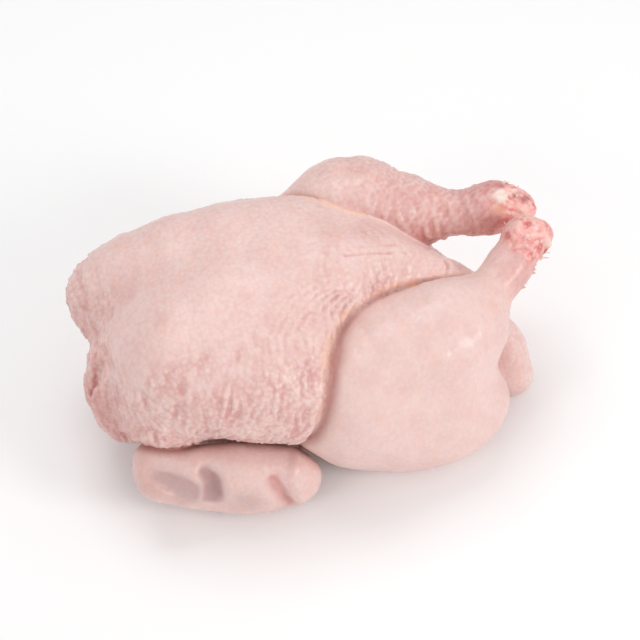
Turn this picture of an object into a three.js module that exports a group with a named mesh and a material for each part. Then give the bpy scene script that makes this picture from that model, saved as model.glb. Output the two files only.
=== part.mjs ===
// A whole raw chicken lying on its back: breast up, wings folded along its sides, tail at the rear and the
// two shanks drawn together over the vent. Millimetres, +Z up. X runs from the neck to the tail, Y from the
// near side to the far side. The skin is the zero level of one distance-like field, drawn as a surface net.
import * as THREE from "three";

// ---- mesh ----
const CELL = 5.8;
const GRID_LOW = [-141.3, -95, -8.9];
const GRID_HIGH = [146, 97, 134];
const SETTLE_ROUNDS = 2;
const SETTLE_CAP = 0.6;
const GRADIENT_STEP = 0.4;
const SPLINE_STEPS = 4;
const LEAST_SLOPE = 0.05;
const TINY = 1e-9;
const SKIN_COLOUR = 0xe6bdb2;
const SKIN_ROUGHNESS = 0.5;

// ---- sizes: a station is [x, y, z, radius]; an egg is [x, y, z, three radii, yaw, pitch] in mm and degrees ----
const KEEL = [
  [-98.5, -1.5, 74, 16.5],
  [-64, 0, 91, 20],
  [-10, 0, 98, 19],
  [34, -0.5, 97.5, 15.5],
  [56.5, 0, 90, 11],
  [73, -4.5, 83, 8.5],
];
const FAR_LOBE = [-35, 37, 80, 94.5, 36.5, 41.5, -4.5, -0.5];
const NEAR_LOBE = [-32.5, -31, 76, 78, 42.5, 35, -8.5, 15];
const CAGE = [-12, 1, 43, 100.5, 48, 48, 0, 0];
const RUMP = [48, 2.5, 46, 41.5, 43.5, 40, 0, 4];
const FAR_SHOULDER = [-95, 45, 63, 22.5, 22.5, 28.5, 0, 0];
const NEAR_SHOULDER = [-91.5, -35, 66, 21, 20, 22, 0, 0];
const NECK = [-110.5, 0.5, 44.5, 19, 26, 32, 0, 0];
const TAIL = [
  [74, -2, 36, 24],
  [98, -12.5, 30, 18],
  [102.5, -25.5, 13.5, 16],
];
const TAIL_FLAT = [0.53, 0.848, 0];
const TAIL_RATIO = 0.75;
const APRON = [
  [72.5, -5.5, 78.5, 10.5],
  [91, -19, 77, 10.5],
];
const FOLDS = [
  [
    [-119, -5, 84, 3],
    [-127, -8, 64, 4],
    [-123, -9, 38, 3],
  ],
  [
    [-116, -17, 82, 3],
    [-123.5, -20, 62, 4.5],
    [-118, -19, 34, 3],
  ],
];
const VENT = [95, 6, 57, 9, 6.5, 9, 0, 0];

const FAR_LEG = {
  drum: [
    [6.5, 55, 76, 27],
    [33.5, 56, 92, 27.5],
    [56, 47, 90, 23.5],
    [87, 32, 93.5, 13.5],
    [108, 25, 97, 14.5],
    [118, 21, 98.5, 10],
  ],
  hock: [
    [113.5, 27, 101, 9.5],
    [123, 18, 98, 8.5],
  ],
  thigh: [35, 38, 46, 47, 31, 43, 10, 8],
};
const NEAR_LEG = {
  drum: [
    [7, -45.5, 61, 38],
    [34.5, -41, 69.5, 35],
    [65.5, -38.5, 78.5, 28.5],
    [89, -27, 88, 14],
    [104.5, -17, 95, 12.5],
    [118, -7.5, 104, 9.5],
  ],
  hock: [
    [115, -5, 104.5, 9.5],
    [122.5, -9, 103, 9],
  ],
  thigh: [34.5, -46, 37, 59.5, 36, 40.5, -8, 7.5],
};
const FAR_WING = {
  drumette: [
    [-98, 48, 56, 18],
    [-74, 58, 50, 16],
    [-36, 60, 45, 18.5],
  ],
  forearm: [
    [-34, 62, 28, 18.5],
    [-60, 61, 19, 14.5],
    [-93, 54, 22, 10.5],
  ],
  tip: [
    [-93, 54, 22, 9],
    [-82, 49, 12, 8],
    [-56, 44, 6, 6],
  ],
  webs: [
    [
      [-102, 48, 50, 7],
      [-99, 54, 26, 6],
    ],
    [
      [-84, 58, 36, 5],
      [-96, 56, 34, 5],
    ],
  ],
  hollows: [
    [
      [-100, 66, 45, 3],
      [-88, 72, 37, 6],
    ],
    [
      [-77, 75, 48, 4],
      [-78, 75, 35, 6],
    ],
  ],
};
const NEAR_WING = {
  drumette: [
    [-99.5, -56, 39.5, 15],
    [-76.5, -61.5, 38.5, 16],
    [-55, -63, 32.5, 16.5],
    [-37, -64, 26, 16],
  ],
  forearm: [
    [-32, -66, 20.5, 15.5],
    [-59, -64.5, 19, 15],
    [-92, -54, 21.5, 10.5],
  ],
  tip: [
    [-88, -55, 23, 7.5],
    [-80, -50, 12, 8],
    [-56, -44, 6, 6],
  ],
  webs: [
    [
      [-100, -46.5, 50, 7],
      [-96, -52.5, 28.5, 5],
    ],
    [
      [-84, -58, 36, 5],
      [-94.5, -54, 34, 5.5],
    ],
  ],
  hollows: [
    [
      [-104.5, -68.5, 51, 4],
      [-97, -73, 48.5, 7],
      [-89, -77.5, 43.5, 8],
    ],
    [
      [-76.5, -72, 53, 4],
      [-76.5, -76, 46, 6],
      [-76.5, -78.5, 36.5, 4],
    ],
    [
      [-44, -78.5, 38.5, 3],
      [-40.5, -81.5, 29, 4.5],
      [-39, -79.5, 13.5, 4],
    ],
  ],
};
const FOREARM_FLAT = [0, 1, 0];
const FOREARM_RATIO = 0.8;

// ---- how the masses blend ----
const LOBE_BLEND = 30;
const CAGE_BLEND = 22;
const RUMP_BLEND = 20;
const NECK_BLEND = 14;
const TAIL_BLEND = 16;
const APRON_BLEND = 8;
const FOLD_BLEND = 5;
const VENT_BLEND = 8;
const HOCK_BLEND = 6;
const THIGH_BLEND = 16;
const ELBOW_BLEND = 9;
const WEB_BLEND = 16;
const TIP_BLEND = 6;
const HOLLOW_BLEND = 6;
const FLOOR_BLEND = 5;
const WING_BLEND = 6;
const LEG_JOIN = { loose: 18, tight: 4, low: 25, high: 55 };

const clamp = (x, low, high) => Math.min(Math.max(x, low), high);

function smoothMin(a, b, k) {
  const h = Math.max(k - Math.abs(a - b), 0) / k;
  return Math.min(a, b) - h * h * k * 0.25;
}

const smoothMax = (a, b, k) => -smoothMin(-a, -b, k);

function smoothStep(low, high, x) {
  const t = clamp((x - low) / (high - low), 0, 1);
  return t * t * (3 - 2 * t);
}

// An egg's field: an ellipsoid turned by yaw about Z after pitch about Y.
function egg([x, y, z, rx, ry, rz, yaw, pitch]) {
  const turn = new THREE.Matrix4().makeRotationFromEuler(
    new THREE.Euler(0, THREE.MathUtils.degToRad(pitch), THREE.MathUtils.degToRad(yaw), "ZYX"),
  );
  const back = turn.transpose();
  const q = new THREE.Vector3();
  return (p) => {
    q.set(p.x - x, p.y - y, p.z - z).applyMatrix4(back);
    const inUnits = Math.hypot(q.x / rx, q.y / ry, q.z / rz);
    const slope = Math.hypot(q.x / rx ** 2, q.y / ry ** 2, q.z / rz ** 2) + TINY;
    return (inUnits * (inUnits - 1)) / slope;
  };
}

// Catmull-Rom stations between the given ones, with the radius carried along.
function finerStations(stations) {
  if (stations.length === 2) return stations;
  const before = stations[0].map((v, i) => 2 * v - stations[1][i]);
  const last = stations[stations.length - 1];
  const after = last.map((v, i) => 2 * v - stations[stations.length - 2][i]);
  const ends = [before, ...stations, after];
  const out = [];
  for (let n = 1; n < ends.length - 2; n++) {
    for (let s = 0; s < SPLINE_STEPS; s++) {
      const t = s / SPLINE_STEPS;
      out.push(
        ends[n].map((b, i) => {
          const [a, c, d] = [ends[n - 1][i], ends[n + 1][i], ends[n + 2][i]];
          const square = 2 * a - 5 * b + 4 * c - d;
          const cube = 3 * b - a - 3 * c + d;
          return 0.5 * (2 * b + (c - a) * t + square * t * t + cube * t * t * t);
        }),
      );
    }
  }
  out.push(last);
  return out;
}

// A limb's field: a round rod through its stations, thinner by ratio along the unit vector flat.
function limb(stations, flat = [0, 0, 0], ratio = 1) {
  const points = finerStations(stations);
  const rods = points.slice(1).map((end, i) => {
    const start = points[i];
    const along = [end[0] - start[0], end[1] - start[1], end[2] - start[2]];
    return { start, along, square: along[0] ** 2 + along[1] ** 2 + along[2] ** 2, swell: end[3] - start[3] };
  });
  const squash = 1 / ratio - 1;
  return (p) => {
    let best = Infinity;
    for (const { start, along, square, swell } of rods) {
      let [x, y, z] = [p.x - start[0], p.y - start[1], p.z - start[2]];
      const t = clamp((x * along[0] + y * along[1] + z * along[2]) / square, 0, 1);
      x -= t * along[0];
      y -= t * along[1];
      z -= t * along[2];
      const across = (x * flat[0] + y * flat[1] + z * flat[2]) * squash;
      x += across * flat[0];
      y += across * flat[1];
      z += across * flat[2];
      best = Math.min(best, Math.hypot(x, y, z) - start[3] - t * swell);
    }
    return best;
  };
}

// A field made of others: each [field, blend] is joined to the sum so far.
function joined(first, ...rest) {
  return (p) => rest.reduce((sum, [field, blend]) => smoothMin(sum, field(p), blend), first(p));
}

// A field with others cut out of it.
function hollowed(field, cutters, blend) {
  return (p) => cutters.reduce((sum, cut) => smoothMax(sum, -cut(p), blend), field(p));
}

function torso() {
  const body = joined(
    limb(KEEL),
    [egg(FAR_LOBE), LOBE_BLEND],
    [egg(NEAR_LOBE), LOBE_BLEND],
    [egg(CAGE), CAGE_BLEND],
    [egg(RUMP), RUMP_BLEND],
    [egg(FAR_SHOULDER), CAGE_BLEND],
    [egg(NEAR_SHOULDER), CAGE_BLEND],
    [egg(NECK), NECK_BLEND],
    [limb(TAIL, TAIL_FLAT, TAIL_RATIO), TAIL_BLEND],
    [limb(APRON), APRON_BLEND],
    ...FOLDS.map((fold) => [limb(fold), FOLD_BLEND]),
  );
  return hollowed(body, [egg(VENT)], VENT_BLEND);
}

function leg({ drum, hock, thigh }) {
  return joined(limb(drum), [limb(hock), HOCK_BLEND], [egg(thigh), THIGH_BLEND]);
}

function wing({ drumette, forearm, tip, webs, hollows }) {
  const arm = joined(
    limb(drumette),
    [limb(forearm, FOREARM_FLAT, FOREARM_RATIO), ELBOW_BLEND],
    ...webs.map((web) => [limb(web), WEB_BLEND]),
    [limb(tip), TIP_BLEND],
  );
  return hollowed(arm, hollows.map((hollow) => limb(hollow)), HOLLOW_BLEND);
}

// The whole bird: legs sink into the flesh low down and fold tightly against it high up, wings only touch it,
// and the lowest flesh is pressed flat on the surface it lies on.
function chickenField() {
  const body = torso();
  const legs = [leg(FAR_LEG), leg(NEAR_LEG)];
  const wings = [wing(FAR_WING), wing(NEAR_WING)];
  return (p) => {
    let sum = body(p);
    const height = smoothStep(LEG_JOIN.low, LEG_JOIN.high, p.z);
    const legBlend = LEG_JOIN.loose + (LEG_JOIN.tight - LEG_JOIN.loose) * height;
    for (const one of legs) sum = smoothMin(sum, one(p), legBlend);
    for (const one of wings) sum = smoothMin(sum, one(p), WING_BLEND);
    return smoothMax(sum, -p.z, FLOOR_BLEND);
  };
}

// A cell's 12 edges, four along each axis, by the corner that each starts from.
const EDGES = [0, 1, 2].flatMap((axis) =>
  [0, 1].flatMap((a) =>
    [0, 1].map((b) => {
      const from = [0, 0, 0];
      from[(axis + 1) % 3] = a;
      from[(axis + 2) % 3] = b;
      return { axis, from };
    }),
  ),
);

const RING = [
  [0, 0],
  [1, 0],
  [1, 1],
  [0, 1],
];

// A cell's 6 faces: the corners of each, and the two edges that meet there in the face's plane.
const FACES = [0, 1, 2].flatMap((axis) =>
  [0, 1].map((side) => {
    const [u, v] = [(axis + 1) % 3, (axis + 2) % 3];
    return RING.map(([p, q]) => {
      const corner = [0, 0, 0];
      corner[axis] = side;
      corner[u] = p;
      corner[v] = q;
      return { corner, edges: [u * 4 + q * 2 + side, v * 4 + side * 2 + p] };
    });
  }),
);

// The field's values at the corners of a regular grid.
function sampled(field) {
  const counts = GRID_LOW.map((low, i) => Math.ceil((GRID_HIGH[i] - low) / CELL) + 1);
  const strides = [1, counts[0], counts[0] * counts[1]];
  const values = new Float64Array(counts[0] * counts[1] * counts[2]);
  const p = new THREE.Vector3();
  values.forEach((_, n) => {
    const cell = [n % counts[0], Math.floor(n / strides[1]) % counts[1], Math.floor(n / strides[2])];
    p.fromArray(cell.map((c, i) => GRID_LOW[i] + CELL * c));
    values[n] = field(p);
  });
  return { counts, strides, values };
}

// Which sheet of the surface crosses each edge of a cell, or -1. Sheets that only pass through one cell side by
// side, as in a tight crease, stay apart, so that the mesh has no edge shared by four faces.
function cellSheets(start, { strides, values }) {
  const inside = (corner) => values[start + corner.reduce((n, c, i) => n + c * strides[i], 0)] < 0;
  const sheets = EDGES.map(({ axis, from }, e) => {
    const to = from.map((c, i) => (i === axis ? 1 : c));
    return inside(from) === inside(to) ? -1 : e;
  });
  const merge = (e, f) => {
    const [kept, gone] = [sheets[e], sheets[f]];
    sheets.forEach((sheet, n) => {
      if (sheet === gone) sheets[n] = kept;
    });
  };
  for (const face of FACES) {
    const cut = [...new Set(face.flatMap(({ edges }) => edges))].filter((e) => sheets[e] >= 0);
    if (cut.length === 2) merge(...cut);
    if (cut.length < 4) continue;
    for (const { corner, edges } of face) if (inside(corner)) merge(...edges);
  }
  return sheets;
}

// The mean of the points where one sheet crosses a cell's edges.
function sheetVertex(sheet, sheets, cell, start, { strides, values }) {
  const sum = [0, 0, 0];
  const cut = EDGES.filter((_, e) => sheets[e] === sheet);
  for (const { axis, from } of cut) {
    const n = start + from.reduce((total, c, i) => total + c * strides[i], 0);
    from.forEach((offset, i) => (sum[i] += offset));
    sum[axis] += values[n] / (values[n] - values[n + strides[axis]]);
  }
  return new THREE.Vector3().fromArray(sum.map((v, i) => GRID_LOW[i] + CELL * (cell[i] + v / cut.length)));
}

// A surface net: a vertex per sheet and cell, and a quad, split in two, per crossed grid edge.
function surfaceNet(field) {
  const grid = sampled(field);
  const { counts, strides, values } = grid;
  const crossedCells = [];
  const vertexOf = new Map();
  const points = [];
  for (let k = 0; k < counts[2] - 1; k++) {
    for (let j = 0; j < counts[1] - 1; j++) {
      for (let i = 0; i < counts[0] - 1; i++) {
        const start = i + j * strides[1] + k * strides[2];
        const sheets = cellSheets(start, grid);
        const found = [...new Set(sheets)].filter((sheet) => sheet >= 0);
        if (found.length) crossedCells.push(start);
        for (const sheet of found) {
          sheets.forEach((one, e) => {
            if (one === sheet) vertexOf.set(start * EDGES.length + e, points.length);
          });
          points.push(sheetVertex(sheet, sheets, [i, j, k], start, grid));
        }
      }
    }
  }
  const faces = [];
  for (const start of crossedCells) {
    for (let axis = 0; axis < 3; axis++) {
      const flipped = values[start] >= 0;
      if (flipped === values[start + strides[axis]] >= 0) continue;
      const ring = RING.map(([a, b]) => {
        const cell = start - a * strides[(axis + 1) % 3] - b * strides[(axis + 2) % 3];
        return vertexOf.get(cell * EDGES.length + axis * 4 + a * 2 + b);
      });
      if (flipped) ring.reverse();
      const even = points[ring[0]].distanceTo(points[ring[2]]) <= points[ring[1]].distanceTo(points[ring[3]]);
      const [a, b, c, d] = even ? ring : [...ring.slice(1), ring[0]];
      faces.push(a, b, c, a, c, d);
    }
  }
  return { points, faces };
}

// Moves each vertex along the field's slope until it lies on the skin.
function settle(field, points) {
  const probe = new THREE.Vector3();
  const slope = new THREE.Vector3();
  for (let round = 0; round < SETTLE_ROUNDS; round++) {
    for (const p of points) {
      ["x", "y", "z"].forEach((axis) => {
        probe.copy(p)[axis] += GRADIENT_STEP;
        const ahead = field(probe);
        probe[axis] -= 2 * GRADIENT_STEP;
        slope[axis] = (ahead - field(probe)) / (2 * GRADIENT_STEP);
      });
      const move = field(p) / Math.max(slope.lengthSq(), LEAST_SLOPE);
      p.addScaledVector(slope, -clamp(move, -SETTLE_CAP, SETTLE_CAP));
    }
  }
}

const field = chickenField();
const { points, faces } = surfaceNet(field);
settle(field, points);

const geometry = new THREE.BufferGeometry().setFromPoints(points);
geometry.setIndex(faces);
geometry.computeBoundingBox();
const { min, max } = geometry.boundingBox;
geometry.translate(-(min.x + max.x) / 2, -(min.y + max.y) / 2, -min.z);
geometry.computeVertexNormals();

const skin = new THREE.MeshStandardMaterial({ color: SKIN_COLOUR, roughness: SKIN_ROUGHNESS });
const chicken = new THREE.Mesh(geometry, skin);
chicken.name = "chicken";

const part = new THREE.Group();
part.add(chicken);

export default part;
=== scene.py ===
"""A whole raw chicken, breast up, dressed for a plain studio picture.

The bird's skin is the zero level of a field, a distance in millimetres to the nearest flesh, made of eggs
and limbs that melt into each other. A surface net draws it, numpy raises its pimples, wrinkles and folds,
and a moist skin material colours it by what lies under it: fat, flesh and gristle, with painted shade down
in its creases and hollows and painted highlight on its pimples.
"""

from __future__ import annotations

import logging
from dataclasses import dataclass
from enum import Enum
from typing import Callable

import bpy
import numpy as np
from mathutils import Matrix, Vector


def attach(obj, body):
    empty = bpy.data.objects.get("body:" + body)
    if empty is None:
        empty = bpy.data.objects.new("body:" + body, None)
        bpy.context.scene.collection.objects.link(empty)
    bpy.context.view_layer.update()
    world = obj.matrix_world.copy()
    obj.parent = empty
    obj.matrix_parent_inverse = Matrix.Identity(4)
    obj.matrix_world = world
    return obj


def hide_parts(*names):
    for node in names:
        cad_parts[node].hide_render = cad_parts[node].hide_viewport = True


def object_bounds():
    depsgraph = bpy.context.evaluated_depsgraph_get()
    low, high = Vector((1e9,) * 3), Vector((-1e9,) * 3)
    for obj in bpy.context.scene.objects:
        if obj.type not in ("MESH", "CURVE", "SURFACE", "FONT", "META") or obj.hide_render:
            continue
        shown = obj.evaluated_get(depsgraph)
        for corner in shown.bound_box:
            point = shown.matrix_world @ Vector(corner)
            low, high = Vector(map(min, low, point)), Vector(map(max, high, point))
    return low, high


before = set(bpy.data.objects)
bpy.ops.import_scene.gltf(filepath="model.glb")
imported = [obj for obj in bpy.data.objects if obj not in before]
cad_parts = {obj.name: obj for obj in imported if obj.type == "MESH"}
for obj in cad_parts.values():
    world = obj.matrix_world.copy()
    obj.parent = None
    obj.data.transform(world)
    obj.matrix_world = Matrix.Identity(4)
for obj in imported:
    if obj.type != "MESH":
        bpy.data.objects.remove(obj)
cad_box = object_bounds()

log = logging.getLogger("chicken")

MM = 0.001
# mm from the bird's own frame, in which its sizes are given, to the part's.
FRAME_SHIFT = (-0.442, -0.081, 0.0)
CHUNK = 60000  # points worked out together, so that the arrays stay in the processor's cache
TINY = 1e-9

Station = tuple[float, float, float, float]
Point = tuple[float, float, float]
Field = Callable[[np.ndarray], np.ndarray]


# ---------------------------------------------------------------- numbers


def smooth_min(a: np.ndarray, b: np.ndarray, blend: float | np.ndarray) -> np.ndarray:
    """The lesser of two fields, rounded off by a parabola where they differ by less than blend.

    Args:
        a: one field's values, in mm.
        b: the other's.
        blend: how far apart the two may be and still melt, in mm.

    Returns:
        min(a, b) less a quarter of blend times the square of what is left of blend.
    """
    left = np.maximum(blend - np.abs(a - b), 0.0) / blend
    return np.minimum(a, b) - left * left * blend * 0.25


def smooth_max(a: np.ndarray, b: np.ndarray, blend: float) -> np.ndarray:
    """The greater of two fields, rounded off like smooth_min."""
    return -smooth_min(-a, -b, blend)


def ramp(low: float, high: float, x: np.ndarray) -> np.ndarray:
    """A soft step from 0 at low to 1 at high: three squares less two cubes of the share of the way."""
    t = np.clip((x - low) / (high - low), 0.0, 1.0)
    return t * t * (3.0 - 2.0 * t)


def bell(x: np.ndarray, width: float) -> np.ndarray:
    """A bell of height 1 round x = 0 that has fallen to 1/e at width."""
    return np.exp(-np.minimum((x / width) ** 2, 30.0))


def in_chunks(function: Field, points: np.ndarray) -> np.ndarray:
    """Works a function out over many points, a cache-sized chunk at a time."""
    parts = np.array_split(points, max(1, len(points) // CHUNK))
    return np.concatenate([function(part) for part in parts])


def gradient(function: Field, points: np.ndarray, step: float = 0.3) -> np.ndarray:
    """The slope of a field, from its values at the four corners of a tetrahedron round each point."""
    corners = np.array([[1, -1, -1], [-1, -1, 1], [-1, 1, -1], [1, 1, 1]], np.float32)
    return sum(c * in_chunks(function, points + c * step)[:, None] for c in corners) / (4.0 * step)


def unit(vectors: np.ndarray) -> np.ndarray:
    """Each vector at length 1."""
    return vectors / np.maximum(np.linalg.norm(vectors, axis=-1, keepdims=True), TINY)


@dataclass(frozen=True)
class Waves:
    """A smooth random swell: the sum of many plane waves of about one length, spread about 1 round 0."""

    length: float
    seed: int
    stretch: Point = (1.0, 1.0, 1.0)
    count: int = 20

    def at(self, points: np.ndarray) -> np.ndarray:
        """The swell at each point.

        Args:
            points: places in mm.

        Returns:
            The sum of the cosines of each wave's phase, over the square root of half their number. Dividing
            a coordinate by its stretch first draws the waves out along that axis.
        """
        rng = np.random.default_rng(self.seed)
        ways = unit(rng.normal(size=(self.count, 3)))
        pace = 2.0 * np.pi / (self.length * rng.uniform(0.75, 1.35, self.count))
        phase = rng.uniform(0.0, 2.0 * np.pi, self.count)
        turns = (points / np.array(self.stretch)) @ (ways * pace[:, None]).T + phase
        return np.cos(turns).sum(1) * np.sqrt(2.0 / self.count)


@dataclass(frozen=True)
class Follicles:
    """Points scattered evenly through space, one to a cell of a lattice, each pushed off its place."""

    spacing: float
    seed: int
    jitter: float = 0.36
    stretch: Point = (1.0, 1.0, 1.0)

    def nearest(self, points: np.ndarray) -> tuple[np.ndarray, np.ndarray]:
        """How far each point is from the nearest follicle, and that follicle's own random number.

        Args:
            points: places in mm.

        Returns:
            The distance in spacings, and a number from 0 to 1. All 27 cells round a point are tried.
        """
        places = points / (self.spacing * np.array(self.stretch))
        low = np.floor(places.min(0)).astype(int) - 1
        cells = np.floor(places).astype(int) - low
        shape = tuple(cells.max(0) + 2)
        rng = np.random.default_rng(self.seed)
        pushes = rng.uniform(-self.jitter, self.jitter, (*shape, 3)).astype(np.float32) + 0.5
        marks = rng.uniform(0.0, 1.0, shape).astype(np.float32)
        best = np.full(len(points), 9.0)
        mark = np.zeros(len(points))
        for offset in np.ndindex(3, 3, 3):
            cell = cells + np.array(offset) - 1
            index = tuple(cell.T)
            away = np.linalg.norm(cell + low + pushes[index] - places, axis=1)
            nearer = away < best
            best = np.where(nearer, away, best)
            mark = np.where(nearer, marks[index], mark)
        return best, mark


# ---------------------------------------------------------------- the bird's masses


@dataclass(frozen=True)
class Egg:
    """An ellipsoid turned by yaw about Z after pitch about Y, in mm and degrees."""

    centre: Point
    radii: Point
    yaw: float = 0.0
    pitch: float = 0.0

    def distance(self, points: np.ndarray) -> np.ndarray:
        """About the distance to the egg's skin: k (k - 1) over k's slope, k being radius in egg radii."""
        y, p = np.radians((self.yaw, self.pitch))
        about_z = np.array([[np.cos(y), -np.sin(y), 0], [np.sin(y), np.cos(y), 0], [0, 0, 1]])
        about_y = np.array([[np.cos(p), 0, np.sin(p)], [0, 1, 0], [-np.sin(p), 0, np.cos(p)]])
        radii = np.array(self.radii, np.float32)
        local = (points - np.array(self.centre, np.float32)) @ (about_z @ about_y).astype(np.float32) / radii
        k = np.sqrt((local * local).sum(1))
        steep = local / radii
        return k * (k - 1.0) / (np.sqrt((steep * steep).sum(1)) + TINY)


@dataclass(frozen=True)
class Limb:
    """A round rod through stations (x, y, z, radius) in mm, thinner by ratio along the unit vector flat."""

    stations: tuple[Station, ...]
    flat: Point = (0.0, 0.0, 0.0)
    ratio: float = 1.0
    steps: int = 4

    def spine(self) -> np.ndarray:
        """The stations with Catmull-Rom stations between them, the radius carried along."""
        s = np.array(self.stations, float)
        if len(s) == 2:
            return s
        e = np.vstack([2 * s[0] - s[1], s, 2 * s[-1] - s[-2]])
        t = np.linspace(0, 1, self.steps, endpoint=False)[None, :, None]
        a, b, c, d = e[:-3, None], e[1:-2, None], e[2:-1, None], e[3:, None]
        cubic = 2 * b + (c - a) * t + (2 * a - 5 * b + 4 * c - d) * t**2 + (3 * b - a - 3 * c + d) * t**3
        return np.vstack([0.5 * cubic.reshape(-1, 4), s[-1:]])

    def distance(self, points: np.ndarray) -> np.ndarray:
        """The distance to the nearest rod between two neighbouring stations, less the radius there."""
        spine = self.spine().astype(np.float32)
        flat = np.array(self.flat, np.float32)
        best = np.full(len(points), np.inf, np.float32)
        for start, end in zip(spine[:-1], spine[1:]):
            way = end[:3] - start[:3]
            off = points - start[:3]
            share = np.clip(off @ way / max(float(way @ way), TINY), 0.0, 1.0)
            off = off - share[:, None] * way
            if self.ratio != 1.0:
                off = off + (off @ flat)[:, None] * flat * (1.0 / self.ratio - 1.0)
            reach = np.sqrt((off * off).sum(1)) - (start[3] + share * (end[3] - start[3]))
            best = np.minimum(best, reach)
        return best

    def along(self, points: np.ndarray) -> np.ndarray:
        """How far along the spine, in mm, the place nearest to each point lies."""
        spine = self.spine()
        best = np.full(len(points), np.inf)
        found = np.zeros(len(points))
        walked = 0.0
        for start, end in zip(spine[:-1], spine[1:]):
            way = end[:3] - start[:3]
            off = points - start[:3]
            share = np.clip(off @ way / max(float(way @ way), TINY), 0.0, 1.0)
            reach = np.linalg.norm(off - share[:, None] * way, axis=1)
            nearer = reach < best
            best = np.where(nearer, reach, best)
            length = float(np.linalg.norm(way))
            found = np.where(nearer, walked + share * length, found)
            walked += length
        return found


class Side(Enum):
    """The two sides of the bird, by the sign of Y."""

    NEAR = -1
    FAR = 1


@dataclass(frozen=True)
class Torso:
    """Breast, back, shoulders, neck end, tail and the flap of belly skin behind the breastbone."""

    keel: Limb = Limb((
        (-98.5, -1.5, 74, 16.5), (-64, 0, 91, 20), (-10, 0, 98, 19),
        (34, -0.5, 97.5, 15.5), (56.5, 0, 90, 11), (73, -4.5, 83, 8.5),
    ))
    far_lobe: Egg = Egg((-35, 37, 80), (94.5, 36.5, 41.5), -4.5, -0.5)
    near_lobe: Egg = Egg((-32.5, -31, 76), (78, 42.5, 35), -8.5, 15)
    cage: Egg = Egg((-12, 1, 43), (100.5, 48, 48))
    rump: Egg = Egg((48, 2.5, 46), (41.5, 43.5, 40), 0, 4)
    far_shoulder: Egg = Egg((-95, 45, 63), (22.5, 22.5, 28.5))
    near_shoulder: Egg = Egg((-91.5, -35, 66), (21, 20, 22))
    neck: Egg = Egg((-110.5, 0.5, 44.5), (19, 26, 32))
    tail: Limb = Limb(
        ((74, -2, 36, 24), (98, -12.5, 30, 18), (102.5, -25.5, 13.5, 16)), (0.53, 0.848, 0), 0.75,
    )
    apron: Limb = Limb(((72.5, -5.5, 78.5, 10.5), (91, -19, 77, 10.5)))
    folds: tuple[Limb, ...] = (
        Limb(((-119, -5, 84, 3), (-127, -8, 64, 4), (-123, -9, 38, 3))),
        Limb(((-116, -17, 82, 3), (-123.5, -20, 62, 4.5), (-118, -19, 34, 3))),
    )
    vent: Egg = Egg((95, 6, 57), (9, 6.5, 9))
    lobe_blend: float = 30.0
    cage_blend: float = 22.0
    rump_blend: float = 20.0
    neck_blend: float = 14.0
    tail_blend: float = 16.0
    apron_blend: float = 8.0
    fold_blend: float = 5.0
    vent_blend: float = 8.0

    def distance(self, points: np.ndarray) -> np.ndarray:
        """All the masses melted together in turn, with the vent's dimple taken out."""
        masses = [
            (self.far_lobe, self.lobe_blend), (self.near_lobe, self.lobe_blend),
            (self.cage, self.cage_blend), (self.rump, self.rump_blend),
            (self.far_shoulder, self.cage_blend), (self.near_shoulder, self.cage_blend),
            (self.neck, self.neck_blend), (self.tail, self.tail_blend), (self.apron, self.apron_blend),
            *((fold, self.fold_blend) for fold in self.folds),
        ]
        total = self.keel.distance(points)
        for mass, blend in masses:
            total = smooth_min(total, mass.distance(points), blend)
        return smooth_max(total, -self.vent.distance(points), self.vent_blend)


@dataclass(frozen=True)
class Leg:
    """Thigh, drumstick and the knuckle where the foot was cut off."""

    side: Side
    drum: Limb
    hock: Limb
    thigh: Egg
    hock_blend: float = 6.0
    thigh_blend: float = 16.0

    def distance(self, points: np.ndarray) -> np.ndarray:
        """The drumstick, its knuckle and the thigh melted together."""
        shank = smooth_min(self.drum.distance(points), self.hock.distance(points), self.hock_blend)
        return smooth_min(shank, self.thigh.distance(points), self.thigh_blend)


@dataclass(frozen=True)
class Knuckle:
    """The cut end of a shank, where the skin stops in a torn rim and flesh, gristle and bone show."""

    side: Side
    tip: Point
    way: Point
    bare_from: float
    seed: int
    girth: float = 17.0

    def bare(self, points: np.ndarray) -> np.ndarray:
        """0 on the skin to 1 past its soft rim, which wanders 3 mm to and fro along the shank's way."""
        off = points - np.array(self.tip)
        along = off @ np.array(self.way)
        away = np.linalg.norm(off - along[:, None] * np.array(self.way), axis=1)
        rim = self.bare_from + 1.8 * Waves(12, self.seed).at(points) + 0.9 * Waves(5, self.seed).at(points)
        return ramp(-3.5, 3.5, along - rim) * ramp(self.girth, self.girth - 3.0, away)


@dataclass(frozen=True)
class Wing:
    """A wing folded flat: drumette, forearm and tip, the webs between them and the hollows they leave."""

    side: Side
    drumette: Limb
    forearm: Limb
    tip: Limb
    webs: tuple[Limb, ...]
    hollows: tuple[Limb, ...]
    elbow_blend: float = 9.0
    web_blend: float = 16.0
    tip_blend: float = 6.0
    hollow_blend: float = 6.0

    def distance(self, points: np.ndarray) -> np.ndarray:
        """The arm's bones melted together with the webs, less the hollows."""
        total = smooth_min(self.drumette.distance(points), self.forearm.distance(points), self.elbow_blend)
        for web in self.webs:
            total = smooth_min(total, web.distance(points), self.web_blend)
        total = smooth_min(total, self.tip.distance(points), self.tip_blend)
        for hollow in self.hollows:
            total = smooth_max(total, -hollow.distance(points), self.hollow_blend)
        return total


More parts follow.
